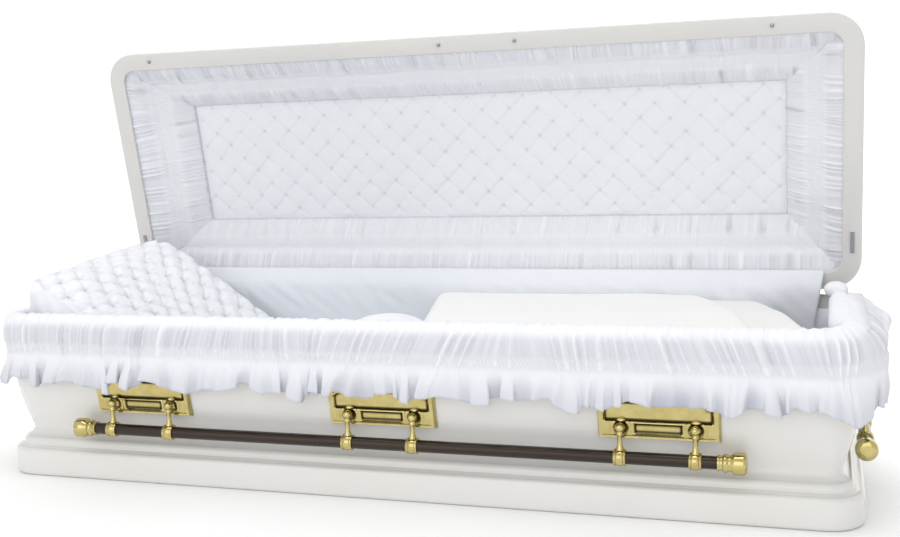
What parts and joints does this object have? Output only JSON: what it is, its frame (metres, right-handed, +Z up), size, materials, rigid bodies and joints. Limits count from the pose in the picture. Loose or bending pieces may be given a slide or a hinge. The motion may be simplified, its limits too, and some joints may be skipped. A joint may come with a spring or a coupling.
{
  "type": "funeral casket",
  "caption": "Full-couch steel burial casket, white enamel, hinged lid open, shirred and quilted white interior, gold swing-bar handles with bronze bars.",
  "frame": {"origin": "centre of the underside of the plinth", "axes": "+X along the length to the foot end, -Y to the front, away from the lid's hinge, +Z up"},
  "size_m": [2.154, 0.8524, 1.1136],
  "materials": {
    "enamel": "gloss white enamel",
    "crepe": "shirred and quilted white crepe",
    "velvet": "smooth ivory white velvet",
    "gold": "polished gold plating",
    "bar": "dark bronze lacquer on steel tube",
    "steel": "zinc plated"
  },
  "bodies": {
    "casket": {"shell": "enamel", "side_lining": "crepe", "mattress": "crepe", "overlay_throw": "velvet", "pillow": "crepe", "apron": "crepe", "hinge_cover": "crepe", "hinge_leaf_shell": "steel", "front_plate_1": "gold", "front_plate_2": "gold", "front_plate_3": "gold", "back_plate_1": "gold", "back_plate_2": "gold", "back_plate_3": "gold", "head_plate": "gold", "foot_plate": "gold"},
    "lid_body": {"lid": "enamel", "lid_quilted_panel": "crepe", "lid_border_front": "crepe", "lid_border_hinge": "crepe", "lid_border_head": "crepe", "lid_border_foot": "crepe", "lid_stud_1": "steel", "lid_stud_2": "steel", "lid_stud_3": "steel", "lid_stud_4": "steel", "lid_catch_head": "steel", "lid_catch_foot": "steel", "hinge_leaf_lid": "steel"},
    "front_handle": {"front_bar": "bar", "front_tip_left": "gold", "front_tip_right": "gold", "front_arm_1": "gold", "front_arm_2": "gold", "front_arm_3": "gold", "front_arm_4": "gold", "front_arm_5": "gold", "front_arm_6": "gold"},
    "back_handle": {"back_bar": "bar", "back_tip_left": "gold", "back_tip_right": "gold", "back_arm_1": "gold", "back_arm_2": "gold", "back_arm_3": "gold", "back_arm_4": "gold", "back_arm_5": "gold", "back_arm_6": "gold"},
    "head_handle": {"head_bar": "bar", "head_tip_left": "gold", "head_tip_right": "gold", "head_arm_1": "gold", "head_arm_2": "gold"},
    "foot_handle": {"foot_bar": "bar", "foot_tip_left": "gold", "foot_tip_right": "gold", "foot_arm_1": "gold", "foot_arm_2": "gold"}
  },
  "joints": [
    {"name": "lid_hinge", "type": "hinge", "parent": "casket", "child": "lid_body", "pos_m": [0, 0.3535, 0.418], "axis": [1, 0, 0], "range_deg": [0, 77], "deforming": ["apron", "pillow", "hinge_cover"]},
    {"name": "front_handle_swing", "type": "hinge", "parent": "casket", "child": "front_handle", "pos_m": [0, -0.3558, 0.199], "axis": [-1, 0, 0], "range_deg": [0, 80]},
    {"name": "back_handle_swing", "type": "hinge", "parent": "casket", "child": "back_handle", "pos_m": [0, 0.3558, 0.199], "axis": [1, 0, 0], "range_deg": [0, 80]},
    {"name": "foot_handle_swing", "type": "hinge", "parent": "casket", "child": "foot_handle", "pos_m": [1.0538, 0, 0.199], "axis": [0, -1, 0], "range_deg": [0, 80]},
    {"name": "head_handle_swing", "type": "hinge", "parent": "casket", "child": "head_handle", "pos_m": [-1.0538, 0, 0.199], "axis": [0, 1, 0], "range_deg": [0, 80]}
  ]
}
